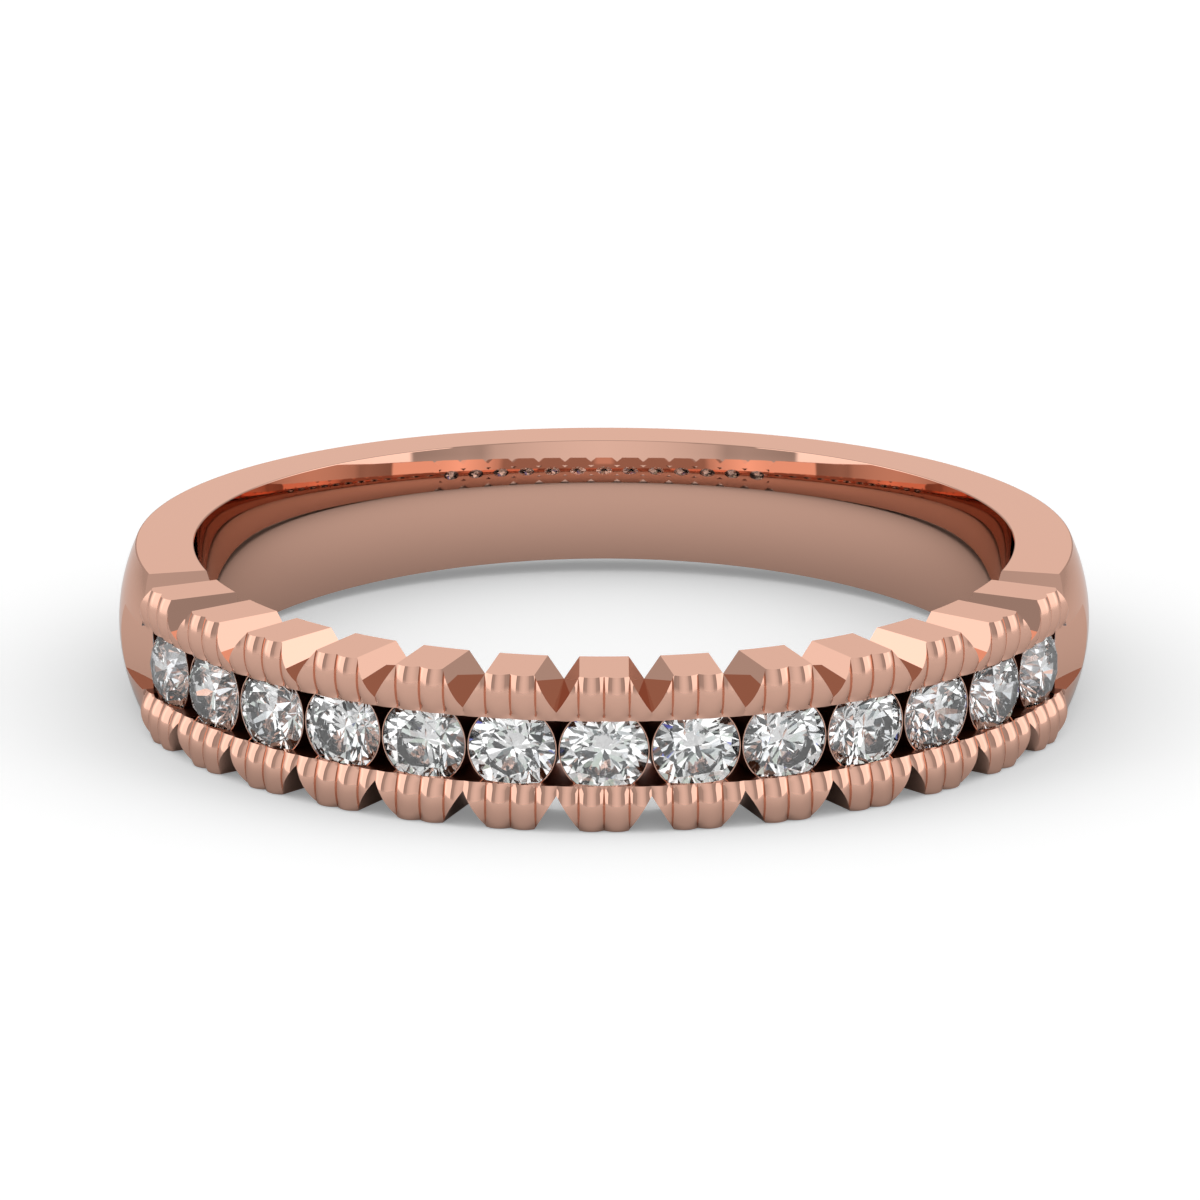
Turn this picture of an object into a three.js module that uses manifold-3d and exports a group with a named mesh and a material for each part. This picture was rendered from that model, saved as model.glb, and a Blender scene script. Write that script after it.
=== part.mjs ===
// Channel-set wedding band: one cast band and thirteen round brilliants.
// Millimetres and degrees. The band lies on its side with +Z along the finger axis, and the row
// of stones faces -Y. The origin is the middle of the underside of the whole ring.
import * as THREE from "three";
import { mergeVertices } from "three/addons/utils/BufferGeometryUtils.js";
import Module from "manifold-3d";

const wasm = await Module();
wasm.setup();

// Finger hole: smallest at mid width and wider at both edges, which is a comfort fit.
const HOLE_RADIUS = 8.3;
const HOLE_EDGE_RADIUS = 8.45;

// Shank: full width over the head, then narrower and thinner to the back.
const HALF_WIDTH = 1.6;
const BACK_HALF_WIDTH = 1.31;
const DOME_RADIUS = 10.015;
const DOME_EDGE_RADIUS = 9.66;
const BACK_THINNING = 0.17;
const TAPER_START = 70;

// Stones: angle from one to the next, girdle diameter, and the girdle's distance from the axis.
const STONE_COUNT = 13;
const STONE_PITCH = 10.95;
const STONE_DIAMETER = 1.75;
const GIRDLE_DISTANCE = 9.63;
const CHANNEL_HALF_ANGLE = (STONE_COUNT / 2) * STONE_PITCH;

// A round brilliant's proportions, as shares of its diameter.
const TABLE_SHARE = 0.57;
const CROWN_SHARE = 0.15;
const GIRDLE_SHARE = 0.025;
const PAVILION_SHARE = 0.43;

// Channel, which cuts right through the wall along the row and runs out up a ramp at both ends,
// and the round cup that carries each stone in it.
const CHANNEL_HALF_HEIGHT = 0.677;
const RUN_OUT_ANGLE = 80.5;
const RUN_OUT_DEPTH = 0.32;
const CUP_RADIUS = 0.9;
const CUP_RIM_DISTANCE = 9.6;
const CUP_HOLE_RADIUS = 0.48;
const STONE_CLEARANCE = 0.02;

// Rails: a rounded outside, cut by V notches into one block above and one below each stone.
const RAIL_CHANNEL_RADIUS = 9.895;
const RAIL_CREST_RADIUS = 10.05;
const RAIL_EDGE_RADIUS = 9.94;
const BLOCK_HALF_WIDTH = 0.491;
const SHOULDER_HALF_WIDTH = 0.4;
const NOTCH_FLANK_ANGLE = 31.9;

// Facet counts, and a distance that is safely outside the ring.
const RING_SEGMENTS = 80;
const CUP_SEGMENTS = 16;
const STONE_SEGMENTS = 16;
const ARC_POINTS = 5;
const OUTSIDE = 12;

const rad = THREE.MathUtils.degToRad;
const point = (x, y) => new THREE.Vector2(x, y);

// A closed geometry as a solid.
function solid(geometry) {
  const bare = geometry.clone();
  bare.deleteAttribute("normal");
  bare.deleteAttribute("uv");
  const merged = mergeVertices(bare, 1e-4);
  const shape = new wasm.Mesh({
    numProp: 3,
    vertProperties: new Float32Array(merged.attributes.position.array),
    triVerts: new Uint32Array(merged.index.array),
  });
  return new wasm.Manifold(shape);
}

// A solid as a named mesh.
function named(name, body, material) {
  const shape = body.getMesh();
  const geometry = new THREE.BufferGeometry();
  geometry.setAttribute("position", new THREE.BufferAttribute(shape.vertProperties, 3));
  geometry.setIndex(new THREE.BufferAttribute(shape.triVerts, 1));
  geometry.computeVertexNormals();
  const mesh = new THREE.Mesh(geometry, material);
  mesh.name = name;
  return mesh;
}

// A profile of (distance from the axis, height) turned about +Z, starting at the front.
function turned(profile, segments) {
  return new THREE.LatheGeometry(profile, segments).rotateX(Math.PI / 2);
}

// Moves a shape from its own frame (X along the ring, Y up, Z outwards) to an angle on the ring.
function atAngle(geometry, degrees) {
  const angle = rad(degrees);
  const along = new THREE.Vector3(Math.cos(angle), Math.sin(angle), 0);
  const outwards = new THREE.Vector3(Math.sin(angle), -Math.cos(angle), 0);
  const up = new THREE.Vector3(0, 0, 1);
  return geometry.clone().applyMatrix4(new THREE.Matrix4().makeBasis(along, up, outwards));
}

// Points of a round stretch from (start, -height) to (start, height) that passes (middle, 0).
function arcThrough(start, middle, height) {
  const points = [];
  for (let i = 0; i < ARC_POINTS; i++) {
    const z = height * ((2 * i) / (ARC_POINTS - 1) - 1);
    const share = 1 - (z / height) ** 2;
    points.push(point(start + (middle - start) * share, z));
  }
  return points;
}

// How far round to the back a point is: 0 over the head, rising smoothly to 1 at the back.
function backShare(x, y) {
  const fromFront = THREE.MathUtils.radToDeg(Math.atan2(Math.abs(x), -y));
  return THREE.MathUtils.smoothstep(fromFront, TAPER_START, 180);
}

// Narrows and thins a turned shape towards the back of the ring.
function tapered(geometry) {
  const position = geometry.attributes.position;
  for (let i = 0; i < position.count; i++) {
    const x = position.getX(i);
    const y = position.getY(i);
    const share = backShare(x, y);
    const width = 1 - (1 - BACK_HALF_WIDTH / HALF_WIDTH) * share;
    const distance = Math.hypot(x, y);
    const thinner = distance > HOLE_EDGE_RADIUS + 0.5 ? 1 - (BACK_THINNING * share) / distance : 1;
    position.setXYZ(i, x * thinner, y * thinner, position.getZ(i) * width);
  }
  return geometry;
}

// A point of the plan, by its angle from the middle stone and its distance from the axis.
function planPoint(degrees, distance) {
  return point(distance * Math.sin(rad(degrees)), -distance * Math.cos(rad(degrees)));
}

// A solid with the given plan between two heights.
function slab(outline, low, high) {
  const shape = new THREE.Shape(outline);
  const prism = new THREE.ExtrudeGeometry(shape, { depth: high - low, bevelEnabled: false });
  return solid(prism.translate(0, 0, low));
}

// A pie slice of the ring between two heights, centred on the front.
function slice(halfAngle, low, high) {
  const outline = [point(0, 0)];
  const steps = 6;
  for (let i = 0; i <= steps; i++) {
    outline.push(planPoint(halfAngle * ((2 * i) / steps - 1), OUTSIDE));
  }
  return slab(outline, low, high);
}

// The ramp at the channel's right end (side 1) or left end (side -1).
function runOut(side) {
  const start = CHANNEL_HALF_ANGLE - 1;
  const outline = [
    planPoint(side * start, DOME_RADIUS - RUN_OUT_DEPTH),
    planPoint(side * RUN_OUT_ANGLE, DOME_RADIUS),
    planPoint(side * RUN_OUT_ANGLE, OUTSIDE),
    planPoint(side * start, OUTSIDE),
  ];
  return slab(outline, -CHANNEL_HALF_HEIGHT, CHANNEL_HALF_HEIGHT);
}

// Shank blank: a solid disc with a domed rim.
function discBlank() {
  const rim = arcThrough(DOME_EDGE_RADIUS, DOME_RADIUS, HALF_WIDTH);
  const profile = [point(0, -HALF_WIDTH), ...rim, point(0, HALF_WIDTH)];
  return solid(tapered(turned(profile, RING_SEGMENTS)));
}

// Finger hole, with its ends running past both faces.
function fingerHole() {
  const wall = arcThrough(HOLE_EDGE_RADIUS, HOLE_RADIUS, HALF_WIDTH);
  const past = 2 * HALF_WIDTH;
  const profile = [
    point(0, -past),
    point(HOLE_EDGE_RADIUS, -past),
    ...wall,
    point(HOLE_EDGE_RADIUS, past),
    point(0, past),
  ];
  return solid(tapered(turned(profile, RING_SEGMENTS)));
}

// One rail, above the channel (side 1) or below it (side -1).
function rail(side) {
  const middle = (CHANNEL_HALF_HEIGHT + HALF_WIDTH) / 2;
  const half = (HALF_WIDTH - CHANNEL_HALF_HEIGHT) / 2;
  const chord = (RAIL_CHANNEL_RADIUS + RAIL_EDGE_RADIUS) / 2;
  const lean = (RAIL_EDGE_RADIUS - RAIL_CHANNEL_RADIUS) / 2;
  const face = arcThrough(chord, RAIL_CREST_RADIUS, half).map((p) => {
    const height = side > 0 ? p.y : -p.y;
    return point(p.x + (lean * height) / half, side * (middle + height));
  });
  const back = HOLE_EDGE_RADIUS;
  const low = face[0].y;
  const high = face[face.length - 1].y;
  const profile = [point(back, low), ...face, point(back, high), point(back, low)];
  return solid(turned(profile, RING_SEGMENTS)).intersect(slice(CHANNEL_HALF_ANGLE, low, high));
}

// A bar across the wall of the ring whose section widens downwards with the notches' flanks.
function bar(left, right, side) {
  const slope = Math.tan(rad(NOTCH_FLANK_ANGLE));
  const low = 0.4;
  const high = HALF_WIDTH + 0.2;
  const outline = [
    point(left - slope * (HALF_WIDTH - low), low),
    point(right + slope * (HALF_WIDTH - low), low),
    point(right + slope * (HALF_WIDTH - high), high),
    point(left - slope * (HALF_WIDTH - high), high),
  ].map((p) => point(p.x, side * p.y));
  const shape = new THREE.Shape(outline);
  const length = OUTSIDE - HOLE_RADIUS + 1;
  const geometry = new THREE.ExtrudeGeometry(shape, { depth: length, bevelEnabled: false });
  return geometry.translate(0, 0, HOLE_RADIUS - 1);
}

// Everything above (side 1) or below (side -1) the channel that the notches take away.
function notches(side) {
  const depth = 0.5;
  const low = side > 0 ? depth : -OUTSIDE;
  const high = side > 0 ? OUTSIDE : -depth;
  const block = bar(-BLOCK_HALF_WIDTH, BLOCK_HALF_WIDTH, side);
  const rightShoulder = bar(-SHOULDER_HALF_WIDTH, OUTSIDE / 2, side);
  const leftShoulder = bar(-OUTSIDE / 2, SHOULDER_HALF_WIDTH, side);
  const shoulderAngle = ((STONE_COUNT + 1) / 2) * STONE_PITCH;
  let cut = slice(CHANNEL_HALF_ANGLE + STONE_PITCH / 2, low, high);
  for (const angle of stoneAngles) {
    cut = cut.subtract(solid(atAngle(block, angle)));
  }
  cut = cut.subtract(solid(atAngle(rightShoulder, shoulderAngle)));
  return cut.subtract(solid(atAngle(leftShoulder, -shoulderAngle)));
}

// The profile of a brilliant about its own axis, grown all round by a clearance.
function stoneProfile(grown) {
  const girdle = STONE_DIAMETER / 2 + grown;
  const halfGirdle = (GIRDLE_SHARE * STONE_DIAMETER) / 2;
  const table = halfGirdle + CROWN_SHARE * STONE_DIAMETER + grown;
  const culet = halfGirdle + PAVILION_SHARE * STONE_DIAMETER + grown;
  return [
    point(0, -culet),
    point(girdle, -halfGirdle),
    point(girdle, halfGirdle),
    point((TABLE_SHARE * STONE_DIAMETER) / 2 + grown, table),
    point(0, table),
  ];
}

// A brilliant in its place: its table faces outwards.
function stoneGeometry(grown, segments) {
  return turned(stoneProfile(grown), segments).translate(0, 0, GIRDLE_DISTANCE);
}

// A round bar along a stone's axis between two distances from the ring's axis.
function radialRod(radius, from, to) {
  const rod = new THREE.CylinderGeometry(radius, radius, to - from, CUP_SEGMENTS);
  return rod.rotateX(Math.PI / 2).translate(0, 0, (from + to) / 2);
}

// The angles of the stones, from the left end of the row to the right end.
const stoneAngles = [];
for (let i = 0; i < STONE_COUNT; i++) {
  stoneAngles.push((i - (STONE_COUNT - 1) / 2) * STONE_PITCH);
}

// The casting: shank, shoulders, rails and cups are one piece of metal.
function bandBody() {
  const cup = radialRod(CUP_RADIUS, HOLE_RADIUS - 0.2, CUP_RIM_DISTANCE);
  const cupHole = radialRod(CUP_HOLE_RADIUS, HOLE_RADIUS - 1, GIRDLE_DISTANCE - 0.2);
  const seat = stoneGeometry(STONE_CLEARANCE, CUP_SEGMENTS);
  let body = discBlank().add(rail(1)).add(rail(-1));
  body = body.subtract(slice(CHANNEL_HALF_ANGLE, -CHANNEL_HALF_HEIGHT, CHANNEL_HALF_HEIGHT));
  body = body.subtract(runOut(1)).subtract(runOut(-1));
  for (const angle of stoneAngles) {
    body = body.add(solid(atAngle(cup, angle)));
  }
  body = body.subtract(fingerHole()).subtract(notches(1)).subtract(notches(-1));
  for (const angle of stoneAngles) {
    body = body.subtract(solid(atAngle(cupHole, angle)));
    body = body.subtract(solid(atAngle(seat, angle)));
  }
  return body;
}

const roseGold = new THREE.MeshStandardMaterial({
  color: 0xdeaf9b,
  roughness: 0.12,
  metalness: 1,
});
const diamond = new THREE.MeshStandardMaterial({
  color: 0xf2f4f6,
  roughness: 0.02,
  metalness: 0,
});

const ring = new THREE.Group();
ring.add(named("band", bandBody(), roseGold));
const stone = stoneGeometry(0, STONE_SEGMENTS);
stoneAngles.forEach((angle, i) => {
  const number = String(i + 1).padStart(2, "0");
  ring.add(named("diamond_" + number, solid(atAngle(stone, angle)), diamond));
});

// The origin goes to the middle of the underside.
const box = new THREE.Box3().setFromObject(ring);
const centre = box.getCenter(new THREE.Vector3());
ring.position.set(-centre.x, -centre.y, -box.min.z);

const part = new THREE.Group();
part.add(ring);

export default part;
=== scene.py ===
# %% [markdown]
# # A channel-set wedding band
# The ring lies on its side. Its front half carries thirteen round brilliants in a channel between
# two fluted rails, and the rest is a plain polished shank. Two things are made here: one metal
# casting, and one stone that is copied thirteen times. Both are modelled on a bench where one unit
# is a millimetre, because a stone of 1.75 mm is awkward in metres, and brought to true size last.

# %% Load the fixed frame
import math

import bmesh
import bpy
from mathutils import Matrix, Vector


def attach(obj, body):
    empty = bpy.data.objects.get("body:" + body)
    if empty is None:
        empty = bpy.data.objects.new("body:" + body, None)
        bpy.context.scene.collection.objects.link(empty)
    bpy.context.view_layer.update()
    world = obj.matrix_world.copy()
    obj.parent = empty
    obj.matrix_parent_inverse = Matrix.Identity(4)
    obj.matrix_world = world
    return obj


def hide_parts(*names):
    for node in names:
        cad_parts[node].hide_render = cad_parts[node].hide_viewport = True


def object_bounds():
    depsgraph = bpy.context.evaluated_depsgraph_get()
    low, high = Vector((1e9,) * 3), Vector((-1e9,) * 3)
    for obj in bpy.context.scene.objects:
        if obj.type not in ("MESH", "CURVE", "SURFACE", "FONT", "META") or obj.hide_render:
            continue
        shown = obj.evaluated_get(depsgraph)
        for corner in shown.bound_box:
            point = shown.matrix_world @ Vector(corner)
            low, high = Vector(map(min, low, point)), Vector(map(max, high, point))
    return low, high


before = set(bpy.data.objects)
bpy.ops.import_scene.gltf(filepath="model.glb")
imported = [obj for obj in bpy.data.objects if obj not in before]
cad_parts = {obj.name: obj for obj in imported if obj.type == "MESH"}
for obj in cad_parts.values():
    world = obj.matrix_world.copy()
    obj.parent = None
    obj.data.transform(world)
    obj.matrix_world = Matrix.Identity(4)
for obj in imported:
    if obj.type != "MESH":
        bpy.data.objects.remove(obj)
cad_low, cad_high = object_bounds()
print("fixed frame in mm:", [round(1000 * side, 2) for side in cad_high - cad_low])

# %% [markdown]
# ## The bench
# The bench puts the middle of the finger hole at its origin, with the row of stones facing -Y and
# the finger axis along +Z. A bearing is an angle round the ring, counted in degrees from the middle
# stone towards +X. Every piece is drawn at the middle stone and then turned to its bearing.

# %% Sizes in millimetres and degrees
HALF_WIDTH = 1.6
BORE = 8.303
BORE_EDGE = 8.45
RAIL_CREST = 10.045
STONE_COUNT = 13
PITCH = 10.95
HALF_PITCH = PITCH / 2
HEAD_END = STONE_COUNT * HALF_PITCH
SLOT = 0.677
FACE_NOMINAL = 10.0
MILLIMETRE = 0.001

front_clearance = 0.005
axis_y = cad_low.y + (RAIL_CREST + front_clearance) * MILLIMETRE
middle_z = (cad_low.z + cad_high.z) / 2
print("head ends at bearing", round(HEAD_END, 2), "finger axis at y", round(1000 * axis_y, 3), "mm")


# %% Where a point is
def on_ring(bearing, distance, height=0.0):
    """The place at a bearing, a distance from the finger axis and a height."""
    angle = math.radians(bearing)
    return Vector((distance * math.sin(angle), -distance * math.cos(angle), height))


def bearing_of(place):
    """The bearing of a place, from 0 to 360."""
    return math.degrees(math.atan2(place.x, -place.y)) % 360


def distance_of(place):
    """The distance of a place from the finger axis."""
    return math.hypot(place.x, place.y)


def evenly(start, end, steps):
    """Values from start to end in equal steps."""
    return [start + (end - start) * i / steps for i in range(steps + 1)]


# %% Pick up and put down
def put_down():
    """Leaves edit mode with nothing selected, so the next tool acts only on what is picked."""
    if bpy.context.mode != "OBJECT":
        bpy.ops.object.mode_set(mode="OBJECT")
    bpy.ops.object.select_all(action="DESELECT")


def pick_up(piece):
    """Makes one piece the active and only selected object."""
    put_down()
    piece.select_set(True)
    bpy.context.view_layer.objects.active = piece


def open_up(piece, kind="VERT"):
    """Takes a piece into edit mode with nothing of its mesh selected."""
    pick_up(piece)
    bpy.ops.object.mode_set(mode="EDIT")
    bpy.ops.mesh.select_mode(type=kind)
    bpy.ops.mesh.select_all(action="DESELECT")


def pick_points(test):
    """Selects the vertices whose place passes the test, and nothing else."""
    mesh = bmesh.from_edit_mesh(bpy.context.edit_object.data)
    for vertex in mesh.verts:
        vertex.select_set(test(vertex.co))
    mesh.select_flush_mode()
    bmesh.update_edit_mesh(bpy.context.edit_object.data)


def pick_faces(test):
    """Selects the faces whose middle passes the test, and nothing else."""
    mesh = bmesh.from_edit_mesh(bpy.context.edit_object.data)
    for face in mesh.faces:
        face.select_set(test(face.calc_center_median()))
    mesh.select_flush_mode()
    bmesh.update_edit_mesh(bpy.context.edit_object.data)


# %% Draw, close and spin
SAME_PLACE = 1e-4


def draw_line(name, points):
    """Shrinks a small plane to one point and extrudes that point from place to place."""
    put_down()
    bpy.ops.mesh.primitive_plane_add(size=0.1)
    piece = bpy.context.object
    piece.name = name
    bpy.ops.object.mode_set(mode="EDIT")
    bpy.ops.mesh.select_all(action="SELECT")
    bpy.ops.mesh.merge(type="CENTER")
    bpy.ops.transform.translate(value=points[0])
    for here, there in zip(points, points[1:]):
        bpy.ops.mesh.extrude_region_move(TRANSFORM_OT_translate={"value": there - here})
    bpy.ops.mesh.select_all(action="SELECT")
    bpy.ops.mesh.remove_doubles(threshold=SAME_PLACE)
    return piece


def close_up(piece, merge=SAME_PLACE):
    """Merges points closer than a distance, caps every open end and turns all faces outwards."""
    open_up(piece)
    bpy.ops.mesh.select_all(action="SELECT")
    bpy.ops.mesh.remove_doubles(threshold=merge)
    bpy.ops.mesh.fill_holes(sides=0)
    bpy.ops.mesh.select_all(action="SELECT")
    bpy.ops.mesh.normals_make_consistent(inside=False)
    put_down()


def spun(name, section, start, sweep, steps):
    """A closed section of (distance, height) points swept round the finger axis."""
    points = [on_ring(start, distance, height) for distance, height in section]
    piece = draw_line(name, points + points[:1])
    bpy.ops.mesh.select_all(action="SELECT")
    angle = SPIN_WAY * math.radians(sweep)
    bpy.ops.mesh.spin(steps=steps, angle=angle, center=(0, 0, 0), axis=(0, 0, 1))
    close_up(piece)
    return piece


# %% Slice, join and cut
def slice_off(piece, place, normal, fill=True):
    """Cuts a piece with a plane and throws away what is on the normal's side."""
    open_up(piece)
    bpy.ops.mesh.select_all(action="SELECT")
    bpy.ops.mesh.bisect(plane_co=place, plane_no=normal, use_fill=fill, clear_outer=True)
    put_down()


def work(piece, tool, how):
    """Joins a tool to a piece with UNION, or cuts it away with DIFFERENCE, and drops the tool."""
    pick_up(piece)
    cut = piece.modifiers.new("cut", "BOOLEAN")
    cut.operation = how
    cut.solver = "EXACT"
    cut.object = tool
    bpy.ops.object.modifier_apply(modifier=cut.name)
    bpy.data.objects.remove(tool)


# %% Which way a spin goes
def spin_way():
    """The sign of angle that makes a spin about +Z go towards greater bearings."""
    piece = draw_line("try", [on_ring(0, 1), on_ring(0, 2)])
    bpy.ops.mesh.select_all(action="SELECT")
    bpy.ops.mesh.spin(steps=1, angle=0.5, center=(0, 0, 0), axis=(0, 0, 1))
    put_down()
    far = max(piece.data.vertices, key=lambda vertex: abs(vertex.co.x))
    way = 1 if far.co.x > 0 else -1
    bpy.data.objects.remove(piece)
    return way


SPIN_WAY = spin_way()
print("spin goes", SPIN_WAY)

# %% [markdown]
# ## The head: one stone's worth of rail
# The head is thirteen equal bays. Each bay has a block of rail above its stone and one below, with
# a V notch on each side, and a round cup between them. Only a quarter of one bay has to be shaped,
# since the rest are mirror images. The rail could be an extruded box, but its face is crowned and
# follows the ring, so a section is drawn and spun round the finger axis. Each spoke of the spin is
# then pushed in to leave four raised flutes a block, as a round graver would cut them. A bump map
# would be less work, but the flutes show in the outline, so they have to be shape.

# %% The rail's section
CROWN_ROUND = 0.9
CROWN_HEIGHT = 1.18
FLUTE_DEPTH = 0.104
FLUTE_EASE = 0.45
FLUTE_HALF = 0.2585
FLUTE_SPOKES = 14
FACE_STEPS = 14
ROUGH_ALLOWANCE = 0.35


def rail_face(height):
    """The rail's distance from the finger axis at a height: a round crown."""
    off = height - CROWN_HEIGHT
    return RAIL_CREST - (CROWN_ROUND - math.sqrt(CROWN_ROUND**2 - off**2))


rough_bore = BORE - ROUGH_ALLOWANCE
face_heights = evenly(SLOT, HALF_WIDTH, FACE_STEPS)
rail_section = [(rough_bore, SLOT)] + [(rail_face(h), h) for h in face_heights]
rail_section += [(rough_bore, HALF_WIDTH)]
spoke = math.degrees(2 * FLUTE_HALF / FACE_NOMINAL) / FLUTE_SPOKES
reach = 2 * FLUTE_SPOKES
bay = spun("bay", rail_section, -reach * spoke, 2 * reach * spoke, 2 * reach)
print("rail sector:", len(bay.data.vertices), "points, from", round(-reach * spoke, 2), "degrees")

# %% Push the spokes in to leave the flutes
RAIL_FACE_FROM = 9.6
NEAR_EDGE = 0.01
open_up(bay)
for i in range(-reach, reach + 1):
    across = (abs(i) % FLUTE_SPOKES) / FLUTE_SPOKES * 2 - 1
    depth = FLUTE_DEPTH * across**2
    inwards = -on_ring(i * spoke, 1.0)
    for edge, share in ((False, 1.0), (True, FLUTE_EASE)):
        pick_points(
            lambda co: distance_of(co) > RAIL_FACE_FROM
            and (co.z < SLOT + NEAR_EDGE) == edge
            and abs(math.degrees(math.atan2(co.x, -co.y)) - i * spoke) < spoke / 4
        )
        bpy.ops.transform.translate(value=inwards * depth * share)
put_down()
print("flutes are", FLUTE_DEPTH, "mm deep and", 2 * FLUTE_HALF, "mm wide")

# %% Cut the V notch's flanks
BLOCK_HALF = 0.491
FLANK_ANGLE = math.radians(31.9)
CUT_FROM = 9.0
for side in (1, -1):
    edge = Vector((side * BLOCK_HALF, -CUT_FROM, HALF_WIDTH))
    flank = Vector((side * math.cos(FLANK_ANGLE), 0, math.sin(FLANK_ANGLE)))
    slice_off(bay, edge, flank)
print("block:", 2 * BLOCK_HALF, "mm wide at the top, flanks at", round(math.degrees(FLANK_ANGLE), 1))

# %% [markdown]
# ## The cup and the stone's seat
# Between the rails each stone stands in a thin round cup. It is a radial cylinder joined to the
# rail, then opened by one cutter: a spun profile that is the stone's own shape, a hair larger, with
# a round light hole below it. Separate cutters for the hole and the bearing would leave thin slivers
# where they meet. Last the bore is cleaned out, as a jeweller reams a casting.

# %% The brilliant's proportions
STONE = 1.75
GIRDLE_DISTANCE = 9.63
TABLE = 0.57 * STONE / 2
CROWN = 0.15 * STONE
GIRDLE = 0.025 * STONE
PAVILION = 0.43 * STONE
STONE_RADIUS = STONE / 2
CLEARANCE = 0.012
print("stone:", STONE, "mm wide and", round(CROWN + GIRDLE + PAVILION, 3), "mm deep")

# %% Join the cup
CUP_RADIUS = 0.905
CUP_RIM = 9.64
ROUND_SIDES = 64
put_down()
cup_length = CUP_RIM - rough_bore
bpy.ops.mesh.primitive_cylinder_add(
    vertices=ROUND_SIDES,
    radius=CUP_RADIUS,
    depth=cup_length,
    location=(0, -(rough_bore + cup_length / 2), 0),
    rotation=(math.pi / 2, 0, 0),
)
cup = bpy.context.object
bpy.ops.object.transform_apply(location=True, rotation=True, scale=True)
work(bay, cup, "UNION")
print("cup:", round(cup_length, 2), "mm long, rim", CUP_RIM, "mm from the finger axis")

# %% Cut the seat and the light hole
LIGHT_HOLE = 0.48
HOLE_FROM = 7.0
SEAT_MOUTH = 0.45
seat_radius = STONE_RADIUS + CLEARANCE
cone_drop = (seat_radius - LIGHT_HOLE) * PAVILION / STONE_RADIUS
below = GIRDLE_DISTANCE - GIRDLE / 2 - CLEARANCE
above = GIRDLE_DISTANCE + GIRDLE / 2 + CLEARANCE
crown_rise = CROWN / (STONE_RADIUS - TABLE) * (seat_radius - SEAT_MOUTH)
seat_line = [
    (0, HOLE_FROM),
    (LIGHT_HOLE, HOLE_FROM),
    (LIGHT_HOLE, below - cone_drop),
    (seat_radius, below),
    (seat_radius, above),
    (SEAT_MOUTH, above + crown_rise),
    (0, above + crown_rise),
]
seat = draw_line("seat", [Vector((r, -d, 0)) for r, d in seat_line])
bpy.ops.mesh.select_all(action="SELECT")
bpy.ops.mesh.spin(steps=ROUND_SIDES, angle=math.tau, center=(0, 0, 0), axis=(0, 1, 0))
close_up(seat)
work(bay, seat, "DIFFERENCE")
print("seat:", round(seat_radius, 3), "mm in radius, light hole", LIGHT_HOLE, "mm in radius")

# %% Ream the bore
COMFORT = 1.85
REAM_INNER = 7.5
REAM_LOW = -0.3
REAM_HIGH = 1.8
REAM_HALF = 6.63
REAM_SPOKES = 26


def bore_at(height):
    """The comfort-fit bore's distance from the finger axis at a height."""
    return BORE + (BORE_EDGE - BORE) * abs(height / HALF_WIDTH) ** COMFORT


ream_section = [(REAM_INNER, REAM_LOW)]
ream_section += [(bore_at(h), h) for h in evenly(REAM_LOW, REAM_HIGH, FACE_STEPS)]
ream_section += [(REAM_INNER, REAM_HIGH)]
reamer = spun("reamer", ream_section, -REAM_HALF, 2 * REAM_HALF, REAM_SPOKES)
work(bay, reamer, "DIFFERENCE")
print("bay after cutting:", len(bay.data.polygons), "faces")

# %% Trim to a quarter, then mirror it
HEAD_SMOOTH = math.radians(25)
NEARLY = 0.001


def mirror_piece(piece, across_x, across_z):
    """Joins a piece to its mirror image, left to right or top to bottom or both."""
    pick_up(piece)
    mirror = piece.modifiers.new("mirror", "MIRROR")
    mirror.use_axis = (across_x, False, across_z)
    mirror.merge_threshold = NEARLY
    bpy.ops.object.modifier_apply(modifier=mirror.name)


slice_off(bay, (0, 0, 0), (0, 0, -1), fill=False)
slice_off(bay, (0, 0, 0), (-1, 0, 0), fill=False)
end = math.radians(HALF_PITCH)
slice_off(bay, (0, 0, 0), (math.cos(end), math.sin(end), 0), fill=False)
mirror_piece(bay, True, True)
bpy.ops.object.shade_smooth_by_angle(angle=HEAD_SMOOTH)
print("whole bay:", len(bay.data.polygons), "faces")


# %% Thirteen bays make the head
def copy_round(piece, name, bearing):
    """A copy of a piece with its own mesh, turned to a bearing."""
    pick_up(piece)
    bpy.ops.object.duplicate()
    copy = bpy.context.object
    copy.name = name
    copy.rotation_euler = (0, 0, math.radians(bearing))
    bpy.ops.object.transform_apply(location=True, rotation=True, scale=True)
    return copy


BAY_MERGE = 0.002
stone_bearings = [(i - (STONE_COUNT - 1) / 2) * PITCH for i in range(STONE_COUNT)]
bays = [copy_round(bay, "bay_copy", bearing) for bearing in stone_bearings]
bpy.data.objects.remove(bay)
pick_up(bays[0])
for other in bays[1:]:
    other.select_set(True)
bpy.ops.object.join()
head = bays[0]
head.name = "head"
close_up(head, BAY_MERGE)
pick_up(head)
bpy.ops.object.shade_smooth_by_angle(angle=HEAD_SMOOTH)
print("head:", len(head.data.polygons), "faces")

# %% [markdown]
# ## The shank
# The shank is domed outside, flat on both sides and gently rounded inside. One closed section is
# spun from the shoulder to the middle of the back, and each spoke is then narrowed and thinned a
# little more than the one before, which gives the taper. A lofted curve would do the same, but its
# section is harder to measure. The shoulder is notched like the rails, and the channel runs out in
# a flat ramp. One half is made and mirrored.

# %% Spin half of the shank
DOME = 10.015
DOME_EDGE = 9.66
SHANK_SPOKES = 96
SECTION_STEPS = 20
shank_sweep = 180 - HEAD_END


def dome_at(height):
    """The shank's outer distance from the finger axis at a height, before the taper."""
    return DOME + (DOME_EDGE - DOME) * (height / HALF_WIDTH) ** 2


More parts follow.
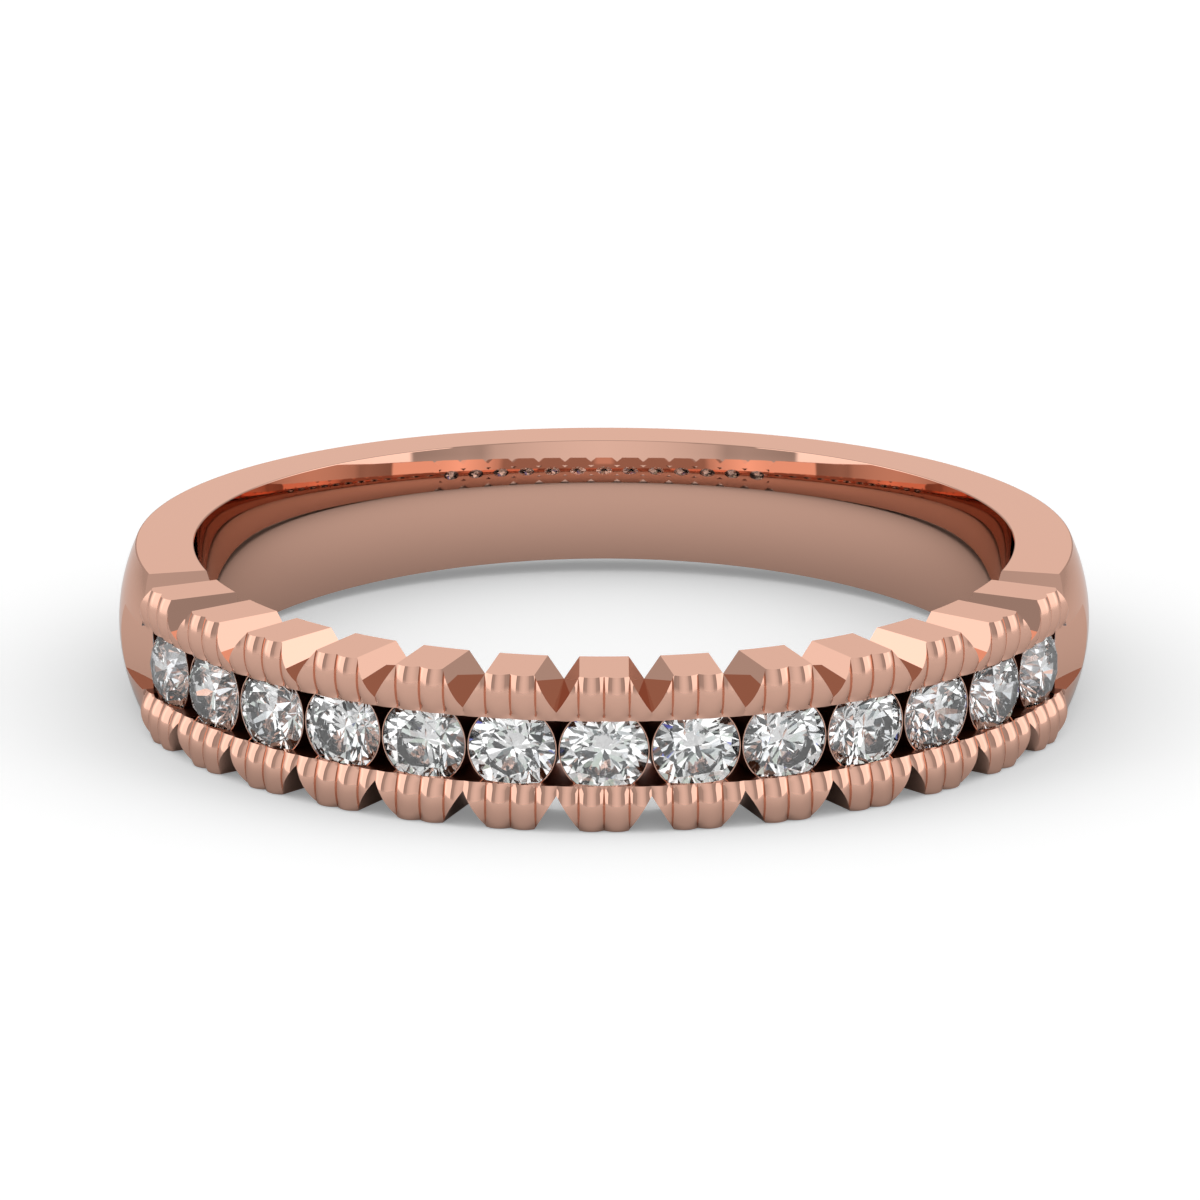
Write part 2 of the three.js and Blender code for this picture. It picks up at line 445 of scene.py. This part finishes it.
shank_section = [(dome_at(h), h) for h in evenly(-HALF_WIDTH, HALF_WIDTH, SECTION_STEPS)]
shank_section += [(bore_at(h), h) for h in evenly(HALF_WIDTH, -HALF_WIDTH, SECTION_STEPS)]
shank = spun("shank", shank_section, HEAD_END, shank_sweep, SHANK_SPOKES)
print("half shank:", round(shank_sweep, 2), "degrees in", SHANK_SPOKES, "steps")

# %% Ease the long edges
EDGE_EASE = 0.02
EASE_STEPS = 2


def on_long_edge(vertex):
    """True for a vertex on one of the shank's four long edges."""
    distance = distance_of(vertex)
    on_side = abs(abs(vertex.z) - HALF_WIDTH) < NEARLY
    return on_side and min(abs(distance - BORE_EDGE), abs(distance - DOME_EDGE)) < NEARLY


open_up(shank, "EDGE")
mesh = bmesh.from_edit_mesh(shank.data)
for rim in mesh.edges:
    ends = [v.co for v in rim.verts]
    same_distance = abs(distance_of(ends[0]) - distance_of(ends[1])) < NEAR_EDGE
    same_height = abs(ends[0].z - ends[1].z) < NEAR_EDGE
    rim.select_set(same_distance and same_height and all(on_long_edge(place) for place in ends))
bmesh.update_edit_mesh(shank.data)
bpy.ops.mesh.bevel(offset=EDGE_EASE, segments=EASE_STEPS, affect="EDGES")
put_down()
print("long edges eased by", EDGE_EASE, "mm")

# %% Narrow and thin it towards the back
TAPER_START = 70
BACK_SHARE = 1.31 / HALF_WIDTH
BACK_THINNING = 0.17
DOME_FROM = 9.2


def taper(bearing):
    """0 at the shoulder, rising smoothly to 1 at the middle of the back."""
    share = (bearing - TAPER_START) / (180 - TAPER_START)
    return share * share * (3 - 2 * share)


open_up(shank)
shank_step = shank_sweep / SHANK_SPOKES
for i in range(SHANK_SPOKES + 1):
    bearing = HEAD_END + i * shank_step
    share = taper(bearing)
    pick_points(lambda co: abs(bearing_of(co) - bearing) < shank_step / 3)
    narrow = 1 - (1 - BACK_SHARE) * share
    bpy.ops.transform.resize(value=(1, 1, narrow), center_override=(0, 0, 0))
    pick_points(
        lambda co: abs(bearing_of(co) - bearing) < shank_step / 3 and distance_of(co) > DOME_FROM
    )
    bpy.ops.transform.translate(value=-on_ring(bearing, BACK_THINNING * share))
put_down()
print("back:", round(2 * HALF_WIDTH * BACK_SHARE, 2), "mm wide,", BACK_THINNING, "mm thinner")

# %% Notch the shoulder
SHOULDER_EDGE = 0.4
shoulder = HEAD_END + HALF_PITCH
half_bay = FACE_NOMINAL * math.tan(end)
notch_floor = HALF_WIDTH - (half_bay - BLOCK_HALF) / math.tan(FLANK_ANGLE)
shoulder_lean = math.atan2(half_bay - SHOULDER_EDGE, HALF_WIDTH - notch_floor)
along = Vector((math.cos(math.radians(shoulder)), math.sin(math.radians(shoulder)), 0))
for side in (1, -1):
    edge = on_ring(shoulder, CUT_FROM, side * HALF_WIDTH) - along * SHOULDER_EDGE
    flank = -along * math.cos(shoulder_lean) + Vector((0, 0, side * math.sin(shoulder_lean)))
    slice_off(shank, edge, flank)
print("shoulder leans", round(math.degrees(shoulder_lean), 1), "degrees")

# %% Run the channel out
RUN_OUT_END = 82.5
RUN_OUT_FLOOR = 9.7
RUN_OUT_LIP = 10.03
RAMP_TOP = 11
RAMP_OVERLAP = 2
ramp_start = HEAD_END - RAMP_OVERLAP
ramp_plan = [
    (ramp_start, RUN_OUT_FLOOR),
    (RUN_OUT_END, RUN_OUT_LIP),
    (RUN_OUT_END, RAMP_TOP),
    (ramp_start, RAMP_TOP),
]
ramp = draw_line("ramp", [on_ring(b, d, -SLOT) for b, d in ramp_plan + ramp_plan[:1]])
bpy.ops.mesh.select_all(action="SELECT")
bpy.ops.mesh.edge_face_add()
bpy.ops.mesh.extrude_region_move(TRANSFORM_OT_translate={"value": (0, 0, 2 * SLOT)})
close_up(ramp)
work(shank, ramp, "DIFFERENCE")
print("half shank:", len(shank.data.polygons), "faces")

# %% Mirror the shank and join it to the head
SHANK_SMOOTH = math.radians(8)
open_up(shank, "FACE")
pick_faces(lambda middle: abs(middle.x) < NEARLY and middle.y > 0)
bpy.ops.mesh.delete(type="FACE")
put_down()
mirror_piece(shank, True, False)
open_up(shank)
bpy.ops.mesh.select_all(action="SELECT")
bpy.ops.mesh.normals_make_consistent(inside=False)
put_down()
pick_up(shank)
bpy.ops.object.shade_smooth_by_angle(angle=SHANK_SMOOTH)
head.select_set(True)
bpy.context.view_layer.objects.active = head
bpy.ops.object.join()
casting = head
casting.name = "band_casting"
print("casting:", len(casting.data.polygons), "faces")

# %% [markdown]
# ## The round brilliant
# A brilliant has a table, 8 kites, 8 stars and 16 upper girdle facets on its crown, and 16 lower
# girdle facets and 8 mains on its pavilion. Each is a flat plane, so the stone is ground as a cutter
# grinds it: a round blank is cut by one plane after another. Every plane is found from the meet
# points it passes through, and so the facets meet in clean points.

# %% The meet points
EIGHTH = math.tau / 8
STAR_LENGTH = 0.52
LOWER_LENGTH = 0.77


def stone_point(turn, radius, height):
    """A place on the stone: a turn about its axis in eighths, a radius and a height."""
    return Vector((radius * math.cos(turn * EIGHTH), radius * math.sin(turn * EIGHTH), height))


half_turn = math.cos(EIGHTH / 2)
top = GIRDLE / 2
star_radius = TABLE * half_turn + STAR_LENGTH * (STONE_RADIUS - TABLE * half_turn)
star_height = top + CROWN * (STONE_RADIUS - star_radius * half_turn) / (STONE_RADIUS - TABLE)
lower_radius = STONE_RADIUS * (1 - LOWER_LENGTH)
lower_height = -top - PAVILION * (STONE_RADIUS - lower_radius * half_turn) / STONE_RADIUS
print("star tips at", round(star_height, 3), "mm and lower girdle tips at", round(lower_height, 3), "mm")

# %% The blank
BLANK_SIDES = 96
BLANK_DEPTH = 2.0
put_down()
bpy.ops.mesh.primitive_cylinder_add(vertices=BLANK_SIDES, radius=STONE_RADIUS, depth=BLANK_DEPTH)
stone = bpy.context.object
stone.name = "brilliant"
stone.data.transform(Matrix.Rotation(math.radians(90), 4, "Z"))
print("blank:", STONE, "mm wide and", BLANK_DEPTH, "mm long")


# %% Grind one plane

def grind(a, b, c):
    """Grinds the stone flat on the plane through three points, on the side away from its middle."""
    normal = (b - a).cross(c - a).normalized()
    if normal.dot(a) < 0:
        normal = -normal
    slice_off(stone, a, normal)


# %% Grind the table, the kites and the mains
table_corners = [stone_point(turn, TABLE, top + CROWN) for turn in range(3)]
grind(*table_corners)
for turn in range(8):
    corner = stone_point(turn, TABLE, top + CROWN)
    edge = stone_point(turn, STONE_RADIUS, top)
    sideways = stone_point(turn + 2, 1, 0)
    grind(corner, edge, edge + sideways)
    culet = stone_point(turn, 0, -top - PAVILION)
    edge = stone_point(turn, STONE_RADIUS, -top)
    grind(culet, edge, edge + sideways)
print("after the first grinding:", len(stone.data.polygons), "faces")

# %% Grind the stars and the girdle facets
for turn in range(8):
    tip = stone_point(turn + 0.5, star_radius, star_height)
    first = stone_point(turn, TABLE, top + CROWN)
    second = stone_point(turn + 1, TABLE, top + CROWN)
    grind(first, second, tip)
    lower_tip = stone_point(turn + 0.5, lower_radius, lower_height)
    for whole in (turn, turn + 1):
        rim = stone_point(whole, STONE_RADIUS, top)
        middle = stone_point(turn + 0.5, STONE_RADIUS, top)
        grind(tip, rim, middle)
        rim = stone_point(whole, STONE_RADIUS, -top)
        middle = stone_point(turn + 0.5, STONE_RADIUS, -top)
        grind(lower_tip, rim, middle)
print("brilliant:", len(stone.data.polygons), "faces, of which", BLANK_SIDES, "are the girdle")

# %% [markdown]
# ## Materials
# The casting is 14 carat rose gold: gold reddened with copper, cast, then buffed on a wheel until it
# is a mirror. The eye gets a warm pink that comes wholly from tinted reflections. Between the cups
# the metal is a dull rose gold whose dark colour is painted shade for the deep recesses, and inside
# the cups it is plated white. A painted mask would be another way, but three plain metals, given
# face by face, need no unwrapping and stay sharp at every edge. The stones are diamond, ground and
# polished facet by facet, with a girdle left as fine as frosted glass.


# %% Colours and nodes
def linear(code):
    """An sRGB hex colour as linear red, green, blue and alpha."""
    shares = [int(code[i : i + 2], 16) / 255 for i in (1, 3, 5)]
    return [s / 12.92 if s <= 0.04045 else ((s + 0.055) / 1.055) ** 2.4 for s in shares] + [1.0]


def add_node(tree, kind, settings=None, links=None):
    """Adds a node, sets its properties and sockets by name, and links its inputs."""
    node = tree.nodes.new(kind)
    for name, value in (settings or {}).items():
        if hasattr(node, name):
            setattr(node, name, value)
        else:
            node.inputs[name if not name.isdigit() else int(name)].default_value = value
    for name, source in (links or {}).items():
        tree.links.new(source, node.inputs[name if not name.isdigit() else int(name)])
    return node


def new_material(name):
    """A material with an empty node tree and its output."""
    material = bpy.data.materials.new(name)
    material.use_nodes = True
    material.node_tree.nodes.clear()
    return material, material.node_tree, material.node_tree.nodes.new("ShaderNodeOutputMaterial")


# %% Rose gold, cast and buffed to a mirror
# Buffing leaves a haze that comes and goes over about half a millimetre. It is too faint to name,
# but it keeps long reflections from looking drawn.
gold, tree, output = new_material("rose_gold_cast_and_buffed")
place = add_node(tree, "ShaderNodeTexCoord")
HAZE_SIZE = 0.5 * MILLIMETRE
haze = add_node(
    tree,
    "ShaderNodeTexNoise",
    {"Scale": 1 / HAZE_SIZE, "Detail": 3.0, "Roughness": 0.6},
    {"Vector": place.outputs["Object"]},
)
polish = add_node(
    tree,
    "ShaderNodeMapRange",
    {"From Min": 0.3, "From Max": 0.7, "To Min": 0.01, "To Max": 0.03},
    {"Value": haze.outputs["Fac"]},
)
skin = add_node(
    tree,
    "ShaderNodeBsdfPrincipled",
    {"Base Color": linear("#DEAF9B"), "Metallic": 1.0, "Specular Tint": (0.912, 0.771, 0.707, 1.0)},
    {"Roughness": polish.outputs["Result"]},
)
tree.links.new(skin.outputs["BSDF"], output.inputs["Surface"])
print("metal:", gold.name)

# %% Rose gold darkened with painted shade
# Between the cups the metal is dull, and its dark colour is painted shade for the deep recesses there.
raw_gold, tree, output = new_material("rose_gold_as_cast_and_pickled")
skin = add_node(
    tree,
    "ShaderNodeBsdfPrincipled",
    {"Base Color": linear("#8A5038"), "Metallic": 1.0, "Roughness": 0.35},
)
tree.links.new(skin.outputs["BSDF"], output.inputs["Surface"])
print("metal:", raw_gold.name)

# %% White rhodium in the seats
# A thin plate of rhodium inside each cup turns the metal behind the stone white, so the stone does
# not pick up a pink cast from the gold.
rhodium, tree, output = new_material("white_rhodium_plated_seat")
skin = add_node(
    tree,
    "ShaderNodeBsdfPrincipled",
    {"Base Color": linear("#DCDDE0"), "Metallic": 1.0, "Roughness": 0.08},
)
tree.links.new(skin.outputs["BSDF"], output.inputs["Surface"])
print("metal:", rhodium.name)

# %% Diamond, ground and polished
DIAMOND_IOR = 2.417
diamond, tree, output = new_material("diamond_ground_and_polished")
skin = add_node(
    tree,
    "ShaderNodeBsdfPrincipled",
    {"Base Color": linear("#FFFFFF"), "Roughness": 0.0, "IOR": DIAMOND_IOR, "Transmission Weight": 1.0},
)
tree.links.new(skin.outputs["BSDF"], output.inputs["Surface"])
print("stone:", diamond.name)

# %% Diamond girdle, left frosted by bruting
# Bruting rubs one stone against another, which leaves a fine frost.
frosted, tree, output = new_material("diamond_girdle_bruted")
skin = add_node(
    tree,
    "ShaderNodeBsdfPrincipled",
    {"Base Color": linear("#F4F6F8"), "Roughness": 0.35, "IOR": DIAMOND_IOR, "Transmission Weight": 1.0},
)
tree.links.new(skin.outputs["BSDF"], output.inputs["Surface"])
print("girdle:", frosted.name)

# %% Put the metals on the casting
casting.data.materials.clear()
casting.data.materials.append(gold)
casting.data.materials.append(raw_gold)
casting.data.materials.append(rhodium)
# Channel faces nearer the finger axis than this get the dark metal, which is painted shade.
WHEEL_REACH = 9.6
BELOW_SKIN = 0.01
seat_wall = (CUP_RADIUS + seat_radius) / 2
recess_faces = 0
seat_faces = 0
for face in casting.data.polygons:
    middle = face.center
    bearing = math.degrees(math.atan2(middle.x, -middle.y))
    nearest = min(stone_bearings, key=lambda b: abs(b - bearing))
    stone_axis = on_ring(nearest, 1.0)
    from_axis = (middle - stone_axis * middle.dot(stone_axis)).length
    in_channel = abs(middle.z) < SLOT + NEARLY and abs(bearing) < HEAD_END - 0.05
    below_skin = distance_of(middle) > bore_at(middle.z) + BELOW_SKIN
    faces_sideways = abs(face.normal.dot(stone_axis)) < 0.3
    if below_skin and from_axis < seat_wall and distance_of(middle) < above:
        face.material_index = 2
        seat_faces += 1
    # Sideways faces down in the channel between the cups get the dark metal: painted shade in the
    # recesses.
    elif in_channel and below_skin and faces_sideways and distance_of(middle) < WHEEL_REACH:
        face.material_index = 1
        recess_faces += 1
# The first count is of the faces darkened with painted shade.
print("faces left as cast:", recess_faces, "faces of the seats:", seat_faces)

# %% Put the diamond and its frost on the stone
stone.data.materials.clear()
stone.data.materials.append(diamond)
stone.data.materials.append(frosted)
for facet in stone.data.polygons:
    on_girdle = abs(facet.normal.z) < 0.01
    facet.material_index = 1 if on_girdle else 0
    facet.use_smooth = on_girdle
print("ground facets:", sum(facet.material_index == 0 for facet in stone.data.polygons))

# %% [markdown]
# ## True size and place
# The bench pieces are now shrunk to metres, moved to the part's own origin and tied to the frame. A
# jeweller drops each stone into its seat and pushes the rail over it. Here the one stone is copied to
# each bearing, turned a little more each time, as no two stones go in with their facets lined up.


# %% Bring a piece to true size and place
def finish_piece(piece, node):
    """Shrinks a bench piece to metres, puts it in the part's frame and ties it to the frame."""
    pick_up(piece)
    piece.scale = (MILLIMETRE, MILLIMETRE, MILLIMETRE)
    piece.location = (0, axis_y, middle_z)
    bpy.ops.object.transform_apply(location=True, rotation=True, scale=True)
    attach(piece, "root")
    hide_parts(node)


finish_piece(casting, "band")
print("placed", casting.name)

# %% Set the stones
stand_up = Matrix.Rotation(math.radians(90), 4, "X")
STONE_TURN = 17.0
for i, bearing in enumerate(stone_bearings):
    number = f"{i + 1:02d}"
    pick_up(stone)
    bpy.ops.object.duplicate()
    copy = bpy.context.object
    copy.name = "brilliant_" + number
    copy.data.transform(Matrix.Rotation(math.radians(STONE_TURN * i), 4, "Z"))
    copy.data.transform(stand_up)
    copy.data.transform(Matrix.Translation((0, -GIRDLE_DISTANCE, 0)))
    copy.data.transform(Matrix.Rotation(math.radians(bearing), 4, "Z"))
    finish_piece(copy, "diamond_" + number)
bpy.data.objects.remove(stone)
print("pieces:", 1 + STONE_COUNT)

# %% [markdown]
# ## The studio
# Polished metal has no look of its own: it shows the room. A white floor and a white room give the
# pale pink of the flat faces. Two grey flags low on either side and a bright soft box beyond each
# give the dark and light stripes that draw the flutes. Behind the ring the wall is mid grey, with one
# white card straight behind that lights the flat faces on top. Area lamps could do some of this, but
# a lamp lights everything, while a stripe of a plain world can be set where one face looks. A diamond
# needs light and dark side by side, so light that has passed through a stone comes from a wall of
# white, grey and a few bluish cards.

# %% A floor that fades out
FLOOR_SIZE = 4.0


def white_floor(name, code, glow, fade_from, fade_to):
    """A plain floor with a little light of its own that fades out between two distances."""
    put_down()
    bpy.ops.mesh.primitive_plane_add(size=FLOOR_SIZE)
    floor = bpy.context.object
    floor.name = name
    sheet, tree, output = new_material(name + "_white_acrylic")
    settings = {"Base Color": linear(code), "Roughness": 0.9, "Specular IOR Level": 0.0}
    settings.update({"Emission Color": linear("#FFFFFF"), "Emission Strength": glow})
    skin = add_node(tree, "ShaderNodeBsdfPrincipled", settings)
    place = add_node(tree, "ShaderNodeTexCoord")
    distance = add_node(
        tree, "ShaderNodeVectorMath", {"operation": "LENGTH"}, {"0": place.outputs["Object"]}
    )
    fade = add_node(
        tree,
        "ShaderNodeMapRange",
        {"From Min": fade_from, "From Max": fade_to},
        {"Value": distance.outputs["Value"]},
    )
    clear = add_node(tree, "ShaderNodeBsdfTransparent")
    both = add_node(
        tree,
        "ShaderNodeMixShader",
        links={"0": fade.outputs["Result"], "1": skin.outputs["BSDF"], "2": clear.outputs["BSDF"]},
    )
    tree.links.new(both.outputs[0], output.inputs["Surface"])
    floor.data.materials.append(sheet)
    return floor


# %% One floor to see and one for the metal
# Only the near part of the floor shows in the metal, or its far part would light the notches.
seen_floor = white_floor("floor", "#F1F1F1", 0.22, 1.0, 1.9)
seen_floor.visible_glossy = False
seen_floor.visible_transmission = False
FLOOR_GAP = 0.01 * MILLIMETRE
seen_floor.location.z = -FLOOR_GAP
mirrored_floor = white_floor("floor_in_the_metal", "#ECECEC", 0.0, 0.014, 0.05)
mirrored_floor.visible_camera = False
mirrored_floor.visible_diffuse = False
mirrored_floor.visible_shadow = False
print("floors:", seen_floor.name, "and", mirrored_floor.name)

# %% The world and its direction
world = bpy.data.worlds.new("studio")
bpy.context.scene.world = world
world.use_nodes = True
tree = world.node_tree
tree.nodes.clear()
output = tree.nodes.new("ShaderNodeOutputWorld")
way = add_node(tree, "ShaderNodeTexCoord")
direction = add_node(tree, "ShaderNodeSeparateXYZ", links={"Vector": way.outputs["Generated"]})


def sum_node(operation, first, second=None, number=None):
    """A sum of one socket with another socket or with a plain number."""
    settings = {"operation": operation}
    if number is not None:
        settings["1"] = number
    links = {"0": first}
    if second is not None:
        links["1"] = second
    return add_node(tree, "ShaderNodeMath", settings, links).outputs[0]


def ramp_node(source, stops):
    """A colour ramp led by one socket, with stops of a position and a colour."""
    ramp = add_node(tree, "ShaderNodeValToRGB", links={"Fac": source})
    while len(ramp.color_ramp.elements) < len(stops):
        ramp.color_ramp.elements.new(0.5)
    for stop, (position, colour) in zip(ramp.color_ramp.elements, stops):
        stop.position = position
        stop.color = colour
    return ramp.outputs["Color"]


def grey(light):
    """A neutral colour of one lightness, where 1 is white and more than 1 is a lamp."""
    return (light, light, light, 1)


# %% How far round the room a direction points
# 0 is straight to the front of the ring and 1 is straight to its back, on either side alike.
ahead = sum_node("MULTIPLY", direction.outputs["Y"], number=-1.0)
turned = sum_node("ARCTAN2", direction.outputs["X"], second=ahead)
either_side = sum_node("ABSOLUTE", turned)
round_share = sum_node("DIVIDE", either_side, number=math.pi)
print("the world is read by", len(tree.nodes), "nodes so far")

# %% The flags and soft boxes in front
card_stops = [
    (0, 0.99),
    (10, 0.95),
    (17, 0.90),
    (24, 0.82),
    (31, 0.72),
    (35, 0.50),
    (40, 0.54),
    (50, 0.46),
    (55.5, 0.41),
    (57, 1.5),
    (85, 1.5),
    (98, 1.8),
    (116, 1.2),
    (119, 1.0),
]
cards = ramp_node(round_share, [(bearing / 180, grey(light)) for bearing, light in card_stops])
print("cards:", len(card_stops), "stops, darkest", min(light for bearing, light in card_stops))

# %% They fade to white below the horizon
BELOW = 0.25
FADE_LOW = -0.22
FADE_HIGH = 0.06
raised = sum_node("ADD", direction.outputs["Z"], number=BELOW)
in_band = ramp_node(raised, [(BELOW + FADE_LOW, grey(0)), (BELOW + FADE_HIGH, grey(1))])
front = add_node(
    tree, "ShaderNodeMix", {"data_type": "RGBA", "6": grey(1)}, {"0": in_band, "7": cards}
).outputs[2]
print("the cards fade out from height", FADE_HIGH, "to", FADE_LOW)

# %% The wall behind
WALL_GREY = 0.55
WALL_FROM = 0.665
WALL_TO = 0.685
CARD_FROM = 0.965
CARD_TO = 0.98
back_stops = [(0, 0.6), (0.16, 0.6), (0.22, 1.0), (0.36, 1.0), (0.42, 0.48)]
back = ramp_node(direction.outputs["Z"], [(height, grey(light)) for height, light in back_stops])


def share_node(low, high):
    """0 below one share of the way round the room and 1 above another."""
    limits = {"From Min": low, "From Max": high}
    return add_node(tree, "ShaderNodeMapRange", limits, {"Value": round_share}).outputs[0]


straight_back = share_node(CARD_FROM, CARD_TO)
back_wall = add_node(
    tree,
    "ShaderNodeMix",
    {"data_type": "RGBA", "6": grey(WALL_GREY)},
    {"0": straight_back, "7": back},
).outputs[2]
room = add_node(
    tree,
    "ShaderNodeMix",
    {"data_type": "RGBA"},
    {"0": share_node(WALL_FROM, WALL_TO), "6": front, "7": back_wall},
).outputs[2]
room_light = add_node(tree, "ShaderNodeBackground", links={"Color": room})
print("the wall behind starts at", round(180 * WALL_FROM), "degrees")

# %% The cards that the stones see
CARD_SCALE = 2.6
wall_stops = [
    (0.0, "#060708"),
    (0.27, "#2A3032"),
    (0.33, "#5A64B8"),
    (0.38, "#5E6668"),
    (0.54, "#98A494"),
    (0.68, "#C8CCD0"),
    (0.8, "#FFFFFF"),
]
cells = add_node(
    tree,
    "ShaderNodeTexVoronoi",
    {"Scale": CARD_SCALE, "Randomness": 1.0},
    {"Vector": way.outputs["Generated"]},
)
pick = add_node(tree, "ShaderNodeSeparateColor", links={"Color": cells.outputs["Color"]})
card_light = ramp_node(pick.outputs["Red"], [(share, linear(code)) for share, code in wall_stops])
wall_light = add_node(tree, "ShaderNodeBackground", {"Strength": 1.5}, {"Color": card_light})
print("cards behind the stones:", len(wall_stops), "tones")

# %% Send each ray to its own wall
passed = add_node(tree, "ShaderNodeLightPath")
both = add_node(
    tree,
    "ShaderNodeMixShader",
    links={
        "0": passed.outputs["Is Transmission Ray"],
        "1": room_light.outputs[0],
        "2": wall_light.outputs[0],
    },
)
tree.links.new(both.outputs[0], output.inputs["Surface"])
print("world nodes:", len(tree.nodes))

# %% [markdown]
# ## The camera
# The ring is only 20 mm across. A short lens close by would make the near stones look larger than
# the far wall, so it is seen from well back through a long lens, a little above the table.

# %% Camera
LOOK_DOWN = 16.473
LENS = 366.2
STAND_BACK = 0.241502
STAND_UP = 0.071707
camera_data = bpy.data.cameras.new("camera")
camera_data.lens = LENS
camera_data.sensor_width = 36
camera_data.shift_x = -0.0034
camera_data.shift_y = -0.0008
camera_data.clip_start = 0.01
camera_data.clip_end = 10
camera = bpy.data.objects.new("camera", camera_data)
camera.location = (0, axis_y - STAND_BACK, middle_z + STAND_UP)
camera.rotation_euler = (math.radians(90 - LOOK_DOWN), 0, 0)
bpy.context.scene.collection.objects.link(camera)
bpy.context.scene.camera = camera
print("camera looks down by", LOOK_DOWN, "degrees through a lens of", LENS, "mm")

# %% Light paths and tone
scene = bpy.context.scene
scene.view_settings.view_transform = "Standard"
scene.cycles.max_bounces = 24
scene.cycles.transmission_bounces = 20
scene.cycles.glossy_bounces = 5
scene.cycles.caustics_reflective = False
scene.cycles.caustics_refractive = True
scene.cycles.sample_clamp_indirect = 4.0
scene.cycles.use_denoising = True
print("bounces inside a stone:", scene.cycles.transmission_bounces)

# %% Finish
put_down()
